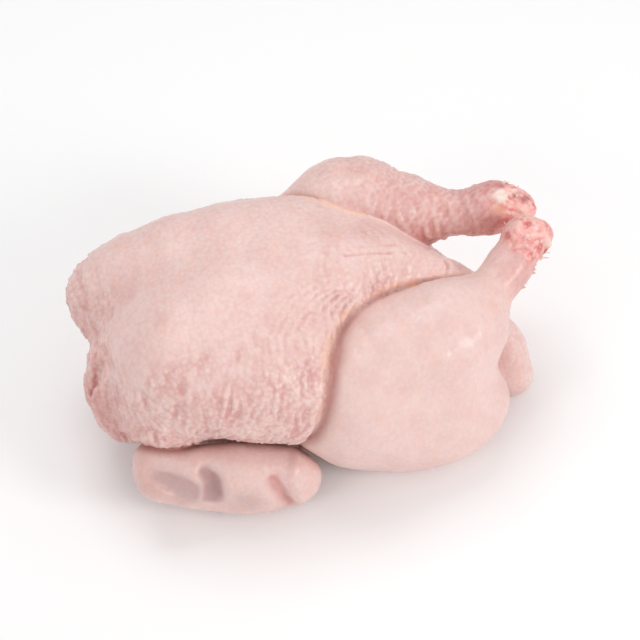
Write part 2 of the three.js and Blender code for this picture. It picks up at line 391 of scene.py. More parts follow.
FAR_LEG = Leg(
    Side.FAR,
    drum=Limb((
        (6.5, 55, 76, 27), (33.5, 56, 92, 27.5), (56, 47, 90, 23.5),
        (87, 32, 93.5, 13.5), (108, 25, 97, 14.5), (118, 21, 98.5, 10),
    )),
    hock=Limb(((113.5, 27, 101, 9.5), (123, 18, 98, 8.5))),
    thigh=Egg((35, 38, 46), (47, 31, 43), 10, 8),
)
NEAR_LEG = Leg(
    Side.NEAR,
    drum=Limb((
        (7, -45.5, 61, 38), (34.5, -41, 69.5, 35), (65.5, -38.5, 78.5, 28.5),
        (89, -27, 88, 14), (104.5, -17, 95, 12.5), (118, -7.5, 104, 9.5),
    )),
    hock=Limb(((115, -5, 104.5, 9.5), (122.5, -9, 103, 9))),
    thigh=Egg((34.5, -46, 37), (59.5, 36, 40.5), -8, 7.5),
)
FAR_KNUCKLE = Knuckle(Side.FAR, (123, 18, 98), (0.904, -0.423, 0.06), -11.0, 201)
NEAR_KNUCKLE = Knuckle(Side.NEAR, (122.5, -9, 103), (0.845, 0.378, 0.378), -12.5, 202)
FAR_WING = Wing(
    Side.FAR,
    drumette=Limb(((-98, 48, 56, 18), (-74, 58, 50, 16), (-36, 60, 45, 18.5))),
    forearm=Limb(((-34, 62, 28, 18.5), (-60, 61, 19, 14.5), (-93, 54, 22, 10.5)), (0, 1, 0), 0.8),
    tip=Limb(((-93, 54, 22, 9), (-82, 49, 12, 8), (-56, 44, 6, 6))),
    webs=(Limb(((-102, 48, 50, 7), (-99, 54, 26, 6))), Limb(((-84, 58, 36, 5), (-96, 56, 34, 5)))),
    hollows=(Limb(((-100, 66, 45, 3), (-88, 72, 37, 6))), Limb(((-77, 75, 48, 4), (-78, 75, 35, 6)))),
)
NEAR_WING = Wing(
    Side.NEAR,
    drumette=Limb((
        (-99.5, -56, 39.5, 15), (-76.5, -61.5, 38.5, 16), (-55, -63, 32.5, 16.5), (-37, -64, 26, 16),
    )),
    forearm=Limb(((-32, -66, 20.5, 15.5), (-59, -64.5, 19, 15), (-92, -54, 21.5, 10.5)), (0, 1, 0), 0.8),
    tip=Limb(((-88, -55, 23, 7.5), (-80, -50, 12, 8), (-56, -44, 6, 6))),
    webs=(
        Limb(((-100, -46.5, 50, 7), (-96, -52.5, 28.5, 5))),
        Limb(((-84, -58, 36, 5), (-94.5, -54, 34, 5.5))),
    ),
    hollows=(
        Limb(((-104.5, -68.5, 51, 4), (-97, -73, 48.5, 7), (-89, -77.5, 43.5, 8))),
        Limb(((-76.5, -72, 53, 4), (-76.5, -76, 46, 6), (-76.5, -78.5, 36.5, 4))),
        Limb(((-44, -78.5, 38.5, 3), (-40.5, -81.5, 29, 4.5), (-39, -79.5, 13.5, 4))),
    ),
)


@dataclass
class Masses:
    """Each mass's own field at the same points: what the relief and the tones are laid out by."""

    torso: np.ndarray
    legs: dict[Side, np.ndarray]
    wings: dict[Side, np.ndarray]

    def leg(self) -> np.ndarray:
        """The field of the nearer leg."""
        return np.minimum(*self.legs.values())

    def wing(self) -> np.ndarray:
        """The field of the nearer wing."""
        return np.minimum(*self.wings.values())

    def on_leg(self) -> np.ndarray:
        """1 on a leg, 0 on the torso."""
        return ramp(-2.0, 2.0, self.torso - self.leg())

    def on_wing(self) -> np.ndarray:
        """1 on a wing, 0 elsewhere."""
        return ramp(-2.0, 2.0, np.minimum(self.torso, self.leg()) - self.wing())


@dataclass(frozen=True)
class Bird:
    """The whole bird's field: legs sink into the flesh low down and fold against it high up, wings touch."""

    torso: Torso = Torso()
    legs: tuple[Leg, ...] = (FAR_LEG, NEAR_LEG)
    wings: tuple[Wing, ...] = (FAR_WING, NEAR_WING)
    knuckles: tuple[Knuckle, ...] = (FAR_KNUCKLE, NEAR_KNUCKLE)
    loose_blend: float = 18.0
    tight_blend: float = 3.0
    join_low: float = 25.0
    join_high: float = 55.0
    leg_groove: float = 3.4
    shallow_groove: float = 1.0
    leg_groove_width: float = 2.4
    slot_front: float = 6.0
    slot_rear: float = 22.0
    wing_blend: float = 4.0
    wing_groove: float = 2.0
    wing_groove_width: float = 3.0
    floor_blend: float = 5.0

    def masses(self, points: np.ndarray) -> Masses:
        """Each mass's field on its own."""
        return Masses(
            in_chunks(self.torso.distance, points),
            {leg.side: in_chunks(leg.distance, points) for leg in self.legs},
            {wing.side: in_chunks(wing.distance, points) for wing in self.wings},
        )

    def distance(self, points: np.ndarray) -> np.ndarray:
        """The bird's field.

        Args:
            points: places in mm, float32.

        Returns:
            The torso's field melted with each limb's. A bell of the difference between the two is added,
            which cuts a groove where they meet, deepest in front of the thighs, and the lowest flesh is
            pressed flat on what it lies on.
        """
        total = self.torso.distance(points)
        height = ramp(self.join_low, self.join_high, points[:, 2])
        slot = ramp(self.slot_rear, self.slot_front, points[:, 0])
        depth = height * (self.shallow_groove + (self.leg_groove - self.shallow_groove) * slot)
        blend = self.loose_blend + (self.tight_blend - self.loose_blend) * height
        for leg in self.legs:
            limb = leg.distance(points)
            groove = depth * bell(total - limb, self.leg_groove_width)
            total = smooth_min(total, limb, blend) + groove
        for wing in self.wings:
            limb = wing.distance(points)
            groove = self.wing_groove * bell(total - limb, self.wing_groove_width)
            total = smooth_min(total, limb, self.wing_blend) + groove
        return smooth_max(total, -points[:, 2], self.floor_blend)

    def distance_in_chunks(self, points: np.ndarray) -> np.ndarray:
        """The bird's field at many points."""
        return in_chunks(self.distance, points)

    def settle(self, points: np.ndarray, rounds: int = 3, cap: float = 1.2) -> np.ndarray:
        """Moves points onto the skin by Newton's steps, none longer than cap.

        Args:
            points: places in mm, near the skin.
            rounds: how many steps each takes.
            cap: the longest step, in mm.

        Returns:
            The points, each less field times slope over slope squared at every step.
        """
        for _ in range(rounds):
            slope = gradient(self.distance, points)
            steep = np.maximum((slope * slope).sum(1, keepdims=True), 0.05)
            move = self.distance_in_chunks(points)[:, None] * slope / steep
            size = np.linalg.norm(move, axis=1, keepdims=True)
            points = points - move * np.minimum(1.0, cap / np.maximum(size, TINY))
        return points.astype(np.float32)


# ---------------------------------------------------------------- the surface net


@dataclass(frozen=True)
class SurfaceNet:
    """Draws a field's zero level as a closed mesh of quads, one for each grid edge that crosses it.

    A cell gets one point for each sheet of the surface that passes through it, so that two folds of skin
    lying against each other in one cell stay apart, and no edge of the mesh is shared by four faces.
    """

    cell: float
    low: Point = (-141.3, -95.0, -8.9)
    high: Point = (146.0, 97.0, 134.0)

    EDGES = tuple((axis, a, b) for axis in range(3) for a in (0, 1) for b in (0, 1))
    RING = ((0, 0), (1, 0), (1, 1), (0, 1))

    @staticmethod
    def corner(axis: int, along: int, a: int, b: int) -> int:
        """A cell corner's number from its place along an axis and along the two that follow it."""
        place = [0, 0, 0]
        place[axis], place[(axis + 1) % 3], place[(axis + 2) % 3] = along, a, b
        return place[0] + 2 * place[1] + 4 * place[2]

    def sheets(self, inside: np.ndarray, crossed: np.ndarray) -> np.ndarray:
        """Numbers the sheets in each cell.

        Args:
            inside: for each cell, which of its 8 corners are inside.
            crossed: which of its 12 edges are crossed.

        Returns:
            For each edge the least edge number of its sheet. Two crossed edges of one cell face belong
            together, and where all four are crossed, the two that meet at an inside corner do.
        """
        label = np.where(crossed, np.arange(12), -1)

        def merge(one: int, other: int, where: np.ndarray) -> None:
            least = np.minimum(label[:, one], label[:, other])[:, None]
            most = np.maximum(label[:, one], label[:, other])[:, None]
            label[:] = np.where(where[:, None] & (label == most), least, label)

        for axis in range(3):
            for side in (0, 1):
                # A face's corner (a, b) touches one edge along the next axis and one along the axis after.
                after, last = (axis + 1) % 3 * 4, (axis + 2) % 3 * 4
                ring = [
                    (self.corner(axis, side, a, b), after + b * 2 + side, last + side * 2 + a)
                    for a, b in self.RING
                ]
                edges = sorted({edge for _, one, other in ring for edge in (one, other)})
                count = crossed[:, edges].sum(1)
                for place, one in enumerate(edges):
                    for other in edges[place + 1:]:
                        merge(one, other, (count == 2) & crossed[:, one] & crossed[:, other])
                for corner, one, other in ring:
                    merge(one, other, (count == 4) & inside[:, corner])
        return label

    def draw(self, distance: Field) -> tuple[np.ndarray, np.ndarray]:
        """The mesh of a field's zero level.

        Args:
            distance: the field.

        Returns:
            The points in mm and the quads, facing out. A point is the mean of where its sheet crosses its
            cell's edges, each crossing being placed by the field's values at the edge's two ends.
        """
        counts = np.ceil((np.array(self.high) - self.low) / self.cell).astype(int) + 1
        axes = [self.low[i] + self.cell * np.arange(counts[i]) for i in range(3)]
        grid = np.stack(np.meshgrid(*axes, indexing="ij"), -1).reshape(-1, 3).astype(np.float32)
        values = in_chunks(distance, grid).reshape(counts)
        spans = counts - 1
        corners = np.stack([
            values[i:i + spans[0], j:j + spans[1], k:k + spans[2]]
            for k in (0, 1) for j in (0, 1) for i in (0, 1)
        ], -1)
        mixed = (corners < 0).any(-1) & (corners >= 0).any(-1)
        cells = np.argwhere(mixed)
        value = corners[mixed]
        inside = value < 0
        starts = np.array([self.corner(axis, 0, a, b) for axis, a, b in self.EDGES])
        ends = np.array([self.corner(axis, 1, a, b) for axis, a, b in self.EDGES])
        crossed = inside[:, starts] != inside[:, ends]
        gap = np.where(crossed, value[:, starts] - value[:, ends], 1.0)
        place = np.empty((len(cells), 12, 3))
        for edge, (axis, a, b) in enumerate(self.EDGES):
            place[:, edge, axis] = value[:, starts[edge]] / gap[:, edge]
            place[:, edge, (axis + 1) % 3] = a
            place[:, edge, (axis + 2) % 3] = b
        keys = np.arange(len(cells))[:, None] * 12 + self.sheets(inside, crossed)
        found, index = np.unique(keys[crossed], return_inverse=True)
        share = np.bincount(index)
        mean = np.stack([np.bincount(index, place[crossed][:, i]) / share for i in range(3)], 1)
        points = (cells[found // 12] + mean) * self.cell + np.array(self.low)
        point_of = np.full((len(cells), 12), -1)
        point_of[crossed] = index
        row = np.full(spans, -1)
        row[tuple(cells.T)] = np.arange(len(cells))
        quads = []
        for axis in range(3):
            up = np.eye(3, dtype=int)[axis]
            first = values[tuple(slice(0, n - u) for n, u in zip(counts, up))] < 0
            second = values[tuple(slice(u, n) for n, u in zip(counts, up))] < 0
            start = np.argwhere(first != second)
            quad = np.empty((len(start), 4), int)
            for turn, (a, b) in enumerate(self.RING):
                cell = start.copy()
                cell[:, (axis + 1) % 3] -= a
                cell[:, (axis + 2) % 3] -= b
                quad[:, turn] = point_of[row[tuple(cell.T)], axis * 4 + a * 2 + b]
            outward = first[tuple(start.T)]
            quads.append(np.where(outward[:, None], quad, quad[:, ::-1]))
        return points.astype(np.float32), np.vstack(quads)


# ---------------------------------------------------------------- relief and tones


@dataclass(frozen=True)
class Regions:
    """Where on the bird each kind of skin lies: shares from 0 to 1, and lengths in mm, at given points."""

    points: np.ndarray
    masses: Masses
    bird: Bird

    def on_leg(self) -> np.ndarray:
        """1 on a leg."""
        return self.masses.on_leg() * (1 - self.masses.on_wing())

    def on_wing(self) -> np.ndarray:
        """1 on a wing."""
        return self.masses.on_wing()

    def on_torso(self) -> np.ndarray:
        """1 on the torso."""
        return (1 - self.masses.on_leg()) * (1 - self.masses.on_wing())

    def pucker(self) -> np.ndarray:
        """The low sides of the breast and the back, where the skin is slack and its pimples stand close."""
        x, _, z = self.points.T
        top = 116.0 + 4.0 * ramp(-40.0, 0.0, x) - 8.0 * ramp(-80.0, -120.0, x)
        top = top + 4.0 * Waves(26, 71).at(self.points)
        under = 0.45 + 0.55 * ramp(12.0, 45.0, z)
        return self.on_torso() * ramp(top, top - 20.0, z) * ramp(60.0, 35.0, x) * under

    def goose(self) -> np.ndarray:
        """How plainly the skin's own fine pimples stand: most on slack skin, least on a taut thigh."""
        plain = 0.45 * self.on_torso() + 0.2 * self.on_leg() + 0.25 * self.on_wing()
        far_drum = 0.5 * self.on_leg() * ramp(0.0, 10.0, self.points[:, 1])
        return np.maximum(self.pucker(), np.maximum(plain, far_drum)) * (1.0 - self.bare())

    def crease(self) -> np.ndarray:
        """1 down in the creases between torso and limbs."""
        torso, leg, wing = self.masses.torso, self.masses.leg(), self.masses.wing()
        x, y, z = self.points.T
        height = ramp(30.0, 60.0, z)
        tight = (1.0 - 0.6 * ramp(8.0, 30.0, x)) * (1.0 - 0.7 * ramp(5.0, 25.0, y))
        return np.maximum(bell(torso - leg, 2.0) * height * tight, bell(np.minimum(torso, leg) - wing, 2.6))

    def shank(self, side: Side) -> np.ndarray:
        """0 on the thick of a drumstick to 1 at its knuckle, on one leg."""
        mine = ramp(2.0, -2.0, self.masses.legs[side] - self.masses.leg())
        return self.on_leg() * mine * ramp(70.0, 116.0, self.points[:, 0])

    def bare(self) -> np.ndarray:
        """1 on each shank's knuckle, where the foot was cut off and no skin is left."""
        return self.on_leg() * np.maximum(*(knuckle.bare(self.points) for knuckle in self.bird.knuckles))


@dataclass(frozen=True)
class Furrow:
    """A dip along a path, as wide as its stations: a wrinkle, a hollow or, with a depth below 0, a ridge."""

    path: Limb
    depth: float
    width: float
    rim: float
    tone: str
    strength: float

    def away(self, points: np.ndarray) -> np.ndarray:
        """Each point's distance from the dip's flat middle, wandering 0.3 mm to and fro."""
        return np.maximum(self.path.distance(points) + 0.3 * Waves(9, 53).at(points), 0.0)

    def height(self, points: np.ndarray) -> np.ndarray:
        """How high the skin stands: a bell down at the middle, and one up two widths away from it."""
        away = self.away(points)
        return self.rim * bell(away - 2.0 * self.width, self.width) - self.depth * bell(away, self.width)

    def share(self, points: np.ndarray) -> np.ndarray:
        """The tone in the furrow: a bell a little wider than the groove."""
        return self.strength * bell(self.away(points), 1.3 * self.width)


FURROWS = (
    Furrow(
        Limb(((18, -3.3, 117, 0), (29, -3.4, 115, 0), (39.7, -3.9, 112, 0), (52, -2, 106.5, 0))),
        depth=0.5, width=0.7, rim=0.3, tone="fold", strength=0.2,
    ),
    Furrow(
        Limb(((22, -7.5, 116, 0), (33, -8, 113.5, 0), (44, -7, 110, 0))),
        depth=0.3, width=0.8, rim=0.2, tone="fold", strength=0.1,
    ),
    Furrow(
        Limb(((24, 1.2, 117.5, 0), (36, 0.2, 115, 0), (50, 2.6, 109, 0))),
        depth=0.3, width=0.8, rim=0.2, tone="fold", strength=0.1,
    ),
    Furrow(
        Limb(((74, -2, 94.5, 0), (73.6, -6.8, 92.8, 0), (70, -15, 92, 0))),
        depth=0.6, width=0.9, rim=0.3, tone="fold", strength=0.25,
    ),
    Furrow(
        Limb(((-118.5, -3, 91, 0), (-122.5, -11.1, 74.7, 0), (-126.7, -12.7, 65.2, 0))),
        depth=0.9, width=1.1, rim=0.3, tone="fold", strength=0.4,
    ),
)
# Dips and a ridge on the folded wing; the grey-mauve tone put into three of them is painted shade.
HOLLOWS = (
    Furrow(
        Limb(((-102, -64.5, 48, 0), (-95, -68, 43.5, 2), (-89, -72, 38, 3))),
        depth=2.2, width=5.5, rim=0.0, tone="painted_hollow_shade", strength=0.5,
    ),
    Furrow(
        Limb(((-78, -68.5, 50, 0), (-76, -71, 42.5, 1.6), (-77.5, -74.5, 33, 2.4))),
        depth=1.7, width=2.9, rim=0.0, tone="painted_hollow_shade", strength=0.75,
    ),
    Furrow(
        Limb(((-110, -60, 50, 1), (-101, -68, 40, 1), (-92, -70, 27, 1))),
        depth=-0.9, width=2.6, rim=0.0, tone="fat", strength=0.15,
    ),
    Furrow(
        Limb(((-63, -79, 31, 0), (-58, -79, 27, 0))),
        depth=0.6, width=7.0, rim=0.0, tone="painted_hollow_shade", strength=0.3,
    ),
    Furrow(
        Limb(((-44, -74.4, 38, 0), (-40.4, -76.6, 24, 0), (-37, -75.5, 12, 0))),
        depth=1.8, width=2.6, rim=0.0, tone="blush", strength=0.6,
    ),
)

# Each swell of a knuckle: centre x, y, z, radius and height, in mm.
KNUCKLE_SWELLS = (
    (112.2, 19.1, 111.0, 5.5, 1.1),
    (122.5, 14.0, 107.5, 5.0, 1.0),
    (117.0, 18.5, 109.5, 2.8, -1.1),
    (109.0, 12.5, 106.5, 3.5, -0.8),
    (111.0, -8.0, 113.0, 5.0, 0.9),
    (121.5, -12.0, 112.5, 5.0, 0.9),
    (104.9, -8.6, 109.6, 3.0, -1.0),
    (117.1, -8.5, 114.4, 2.6, -0.9),
    (120.0, -18.0, 107.0, 3.5, -0.7),
)


@dataclass(frozen=True)
class SkinRelief:
    """How high the skin stands over the bird's masses, in mm."""

    lump_height: float = 0.38
    dent_height: float = 0.08
    pimple_spacing: float = 2.8
    pimple_height: float = 0.6
    pimple_reach: float = 0.62
    rumple_height: float = 0.62
    crease_wrinkle: float = 0.45
    crease_pitch: float = 3.3
    drum_wrinkle: float = 0.5
    drum_pitch: float = 4.6
    drum_stretch: float = 2.6
    ragged_height: float = 0.36

    def lumps(self, places: np.ndarray) -> np.ndarray:
        """The flesh under the skin: swells 34 mm and 11 mm long."""
        return self.lump_height * Waves(34, 3).at(places) + self.dent_height * Waves(11, 5).at(places)

    def pimples(self, where: Regions) -> np.ndarray:
        """Feather follicles: round tops, (1 - (d / reach)^2)^2 high, close on slack skin, few elsewhere."""
        away, mark = Follicles(self.pimple_spacing, 11, stretch=(1.0, 1.15, 1.5)).nearest(where.points)
        top = np.maximum(1 - (away / self.pimple_reach) ** 2, 0) ** 2
        few = 0.22 * where.on_leg() + 0.3 * where.on_wing() + 0.12 * where.on_torso()
        return self.pimple_height * top * (0.45 + 0.8 * mark) * np.maximum(where.pucker(), few)

    def rumples(self, where: Regions) -> np.ndarray:
        """Slack skin hanging in short ridges down the sides: waves 3.7 mm apart, drawn out downhill."""
        x, y, z = where.points.T
        lean = 0.5 * ramp(-110.0, -60.0, x)
        leaned = np.stack([x - lean * (z - 80.0), y, z], 1)
        ridges = Waves(3.7, 23, stretch=(1.0, 3.0, 3.0), count=40).at(leaned)
        folds = Waves(9.0, 25, stretch=(1.0, 2.6, 2.6), count=30).at(leaned)
        calm = 0.4 + 0.6 * ramp(-1.0, 1.0, Waves(17, 27).at(where.points))
        return self.rumple_height * (np.tanh(ridges) * calm + 0.3 * folds) * where.pucker()

    def crease_folds(self, where: Regions) -> np.ndarray:
        """Wrinkles that run beside the creases: cosines of how much farther the leg is than the torso."""
        masses = where.masses
        off = masses.leg() - masses.torso
        phase = off / self.crease_pitch * 2 * np.pi + 1.6 * Waves(24, 31).at(where.points)
        x, y, z = where.points.T
        strip = ramp(1.5, 5.0, off) * ramp(34.0, 10.0, off) * ramp(45.0, 70.0, z)
        patchy = ramp(-0.7, 0.9, Waves(11, 33).at(where.points)) * (1.0 - 0.7 * ramp(0.0, 20.0, y))
        patchy = patchy * (1.0 - 0.8 * ramp(16.0, 36.0, x))
        return self.crease_wrinkle * np.cos(phase) * strip * patchy * where.on_torso()

    def crease_lip(self, where: Regions) -> np.ndarray:
        """The rim of skin and fat that stands along the breast side of each leg's crease."""
        off = where.masses.leg() - where.masses.torso
        patchy = 0.4 + 0.6 * ramp(-0.8, 0.8, Waves(18, 35).at(where.points))
        far = ramp(5.0, 25.0, where.points[:, 1])
        rim = 0.5 * bell(off - 3.2, 1.4) * patchy * (1.0 - far) + 1.0 * bell(off - 2.8, 1.9) * far
        return rim * ramp(60.0, 85.0, where.points[:, 2]) * where.on_torso()

    def drum_folds(self, where: Regions) -> np.ndarray:
        """Short ridges round the far drumstick, strongest on its lower side: waves 4.6 mm apart along it."""
        drum = where.bird.legs[0].drum
        _, y, z = where.points.T
        walked = drum.along(where.points)
        unrolled = np.stack([walked, y / self.drum_stretch, z / self.drum_stretch], 1)
        swell = Waves(self.drum_pitch, 41, count=30).at(unrolled)
        on_far = where.on_leg() * ramp(-2.0, 2.0, y)
        share = on_far * (0.5 + 0.5 * ramp(116.0, 98.0, z))
        share = share * ramp(28.0, 50.0, walked) * ramp(124.0, 94.0, walked)
        return self.drum_wrinkle * np.tanh(1.3 * swell) * share

    def furrows(self, where: Regions) -> np.ndarray:
        """The long wrinkles, each on its own path."""
        return sum(furrow.height(where.points) for furrow in FURROWS)

    def hollows(self, points: np.ndarray) -> np.ndarray:
        """The folded wing's sunken places between its bones."""
        return sum(hollow.height(points) for hollow in HOLLOWS)

    def ragged(self, where: Regions) -> np.ndarray:
        """Torn flesh and tendon at the knuckles: strands 5.5 and 3 mm apart, swirling over the bone."""
        points = where.points
        swirl = points + 1.6 * np.stack([Waves(15, seed).at(points) for seed in (65, 66, 67)], 1)
        coarse = np.tanh(Waves(5.5, 61, stretch=(2.2, 1.0, 1.6)).at(swirl))
        fine = np.tanh(Waves(3.0, 63, stretch=(1.8, 1.0, 1.3)).at(swirl))
        return self.ragged_height * (coarse + 0.6 * fine) * where.bare()

    def swells(self, where: Regions) -> np.ndarray:
        """The bone's round ends under the knuckles' flesh and the dips between them: a bell each."""
        total = np.zeros(len(where.points))
        for *centre, radius, height in KNUCKLE_SWELLS:
            total += height * bell(np.linalg.norm(where.points - np.array(centre), axis=1), radius)
        return total * where.on_leg()

    def detail(self, where: Regions) -> np.ndarray:
        """Everything finer than the flesh's own swells."""
        return (
            self.pimples(where) + self.rumples(where) + self.crease_folds(where) + self.crease_lip(where)
            + self.drum_folds(where) + self.furrows(where) + self.ragged(where) + self.swells(where)
        )

    def height(self, where: Regions) -> np.ndarray:
        """All the relief together, laid flat in the creases and where the bird rests."""
        total = self.lumps(where.points) + self.hollows(where.points) + self.detail(where)
        return total * (1 - 0.9 * where.crease()) * ramp(0.5, 6.0, where.points[:, 2])


@dataclass(frozen=True)
class Patch:
    """A small patch of one tone: a pad of gristle, a blood spot, a bit of fat."""

    tone: str
    centre: Point
    radius: float
    strength: float = 1.0
    stretch: Point = (1.0, 1.0, 1.0)
    soft: float = 0.25

    def share(self, points: np.ndarray, wander: np.ndarray) -> np.ndarray:
        """The patch's tone: an egg round its centre, its edge soft and pushed to and fro by wander."""
        off = (points - np.array(self.centre)) / np.array(self.stretch)
        away = np.linalg.norm(off, axis=1) / self.radius
        return self.strength * ramp(1.0 + self.soft, 1.0 - self.soft, away + 0.25 * wander)


PATCHES = (
    Patch("fat", (-106.0, -58.0, 28.0), 6.0, 0.5, soft=0.8),
    Patch("fat", (51.0, -13.2, 94.0), 2.6, 0.9, (1.5, 1.0, 1.0)),
    Patch("blush", (94.0, 6.0, 57.0), 11.0, 0.45, soft=0.9),
    Patch("gristle", (112.2, 19.1, 111.0), 4.4, 0.9, soft=0.5),
    Patch("gristle", (120.0, 9.0, 104.0), 4.2, 0.5, soft=0.6),
    Patch("marrow", (124.2, 15.5, 107.8), 2.8, 0.7, soft=0.5),
    Patch("marrow", (114.0, 25.0, 112.0), 1.9, 0.6, soft=0.6),
    Patch("fat", (109.3, 13.4, 106.7), 3.8, 0.6, soft=0.6),
    Patch("marrow", (104.9, -8.6, 109.6), 1.7, 0.6, soft=0.6),
    Patch("gristle", (126.2, -18.2, 105.5), 4.0, 0.5, soft=0.6),
    Patch("gristle", (122.0, -1.0, 112.0), 2.6, 0.5, soft=0.6),
)


@dataclass(frozen=True)
class SkinTones:
    """What shows through the skin at each point, as named shares from 0 to 1."""

    relief: SkinRelief = SkinRelief()

    def shares(self, where: Regions) -> dict[str, np.ndarray]:
        """The shares that the skin's material mixes its colours by.

        Args:
            where: the regions at the mesh's points.

        Returns:
            blush: red flesh close under the skin. painted_hollow_shade: painted shade, grey mauve, in the
                folded wing's hollows.
            fat: yellow fat. crease: painted crease shade, dark red, down in the creases. fold: the flush of
                a wrinkle.
            bare: flesh with no skin. gristle: white tendon and cartilage. marrow: blood at the cut bone.
                goose: how plainly fine pimples stand, and how strongly their painted highlight and shade
                    show. raised: half on the masses' own
                surface, more on a pimple's or a fold's top, less beside it; by it the tops are painted paler
                as painted highlight, and the low places darker as painted shade.
            crease: the dark of a crease. fold: the flush of a wrinkle. bare: flesh with no skin. gristle:
            white tendon and cartilage. marrow: blood at the cut bone. goose: how plainly fine pimples stand.
            raised: half on the masses' own surface, more on a pimple's or a fold's top, less beside it.
        """
        points, masses = where.points, where.masses
        x, y, z = points.T
        patches = ramp(-0.4, 1.6, Waves(20, 81).at(points))
        small = ramp(-0.8, 1.5, Waves(3.4, 83).at(points))
        far, near = where.shank(Side.FAR), where.shank(Side.NEAR)
        drum = where.on_leg() * ramp(0.0, 10.0, y) * ramp(52.0, 84.0, z)
        under = drum * ramp(104.0, 84.0, z) * ramp(20.0, 60.0, x)
        front = ramp(-96.0, -120.0, x) * ramp(95.0, 60.0, z)
        far_drum = drum * ramp(0.0, 75.0, x)
        wrist = where.on_leg() * ramp(92.0, 112.0, x)
        flecked = np.maximum(np.maximum(far, near), far_drum)
        blush = (
            0.08 * patches + 0.06 * small + 0.4 * far + 0.4 * near + 0.25 * wrist + 0.22 * under
            + 0.27 * front + 0.15 * where.pucker() + 0.17 * far_drum + 0.28 * small * flecked
        )
        off = masses.leg() - masses.torso
        broken = ramp(-0.5, 0.9, Waves(15, 91).at(points))
        away = ramp(5.0, 25.0, y)
        lip = bell(off - 3.4, 1.5) * (0.2 + 0.5 * broken) * (1 - away)
        lip = lip + 0.85 * bell(off - 2.8, 2.2) * away * ramp(50.0, 30.0, x)
        fat = 0.8 * lip * ramp(70.0, 90.0, z) * where.on_torso()
        fat = fat + 0.12 * ramp(0.6, 1.8, Waves(13, 85).at(points)) * (1 - where.pucker())
        bare = where.bare()
        strand = ramp(0.5, 1.3, Waves(6, 87).at(points))
        shares = {
            "blush": blush, "fat": fat, "crease": where.crease(), "bare": bare, "goose": where.goose(),
            "painted_hollow_shade": np.zeros(len(points)), "fold": np.zeros(len(points)), "gristle": 0.35 * bare * strand,
            "marrow": 0.3 * bare * ramp(1.3, 2.1, Waves(5, 89).at(points)),
        }
        flat = self.relief.lumps(points) + self.relief.hollows(points)
        shares["raised"] = 0.5 + (where.bird.distance_in_chunks(points) - flat) / 1.4
        wander = Waves(3.5, 93).at(points)
        for patch in PATCHES:
            shares[patch.tone] = np.maximum(shares[patch.tone], patch.share(points, wander))
        for furrow in (*FURROWS, *HOLLOWS):
            shares[furrow.tone] = np.maximum(shares[furrow.tone], furrow.share(points))
        return shares


# ---------------------------------------------------------------- Blender


def linear(colour: str) -> tuple[float, float, float, float]:
    """A colour such as "#E6BDB2" as linear red, green, blue and alpha."""
    shares = [int(colour[i:i + 2], 16) / 255 for i in (1, 3, 5)]
    return (*(s / 12.92 if s <= 0.04045 else ((s + 0.055) / 1.055) ** 2.4 for s in shares), 1.0)


def add_node(
    tree: bpy.types.NodeTree, kind: str, settings: dict[str, object] | None = None,
    inputs: dict[str | int, object] | None = None,
) -> bpy.types.Node:
    """Adds one node to a material.

    Args:
        tree: the material's node tree.
        kind: the node's type.
        settings: the node's own properties.
        inputs: what each input gets, by name or number: a socket is linked, and anything else is its value.

    Returns:
        The node.
    """
    node = tree.nodes.new(kind)
    for name, value in (settings or {}).items():
        setattr(node, name, value)
    for name, value in (inputs or {}).items():
        if isinstance(value, bpy.types.NodeSocket):
            tree.links.new(value, node.inputs[name])
        else:
            node.inputs[name].default_value = value
    return node


MIX_A, MIX_B, MIX_OUT = 6, 7, 2  # a Mix node's sockets when it mixes colours


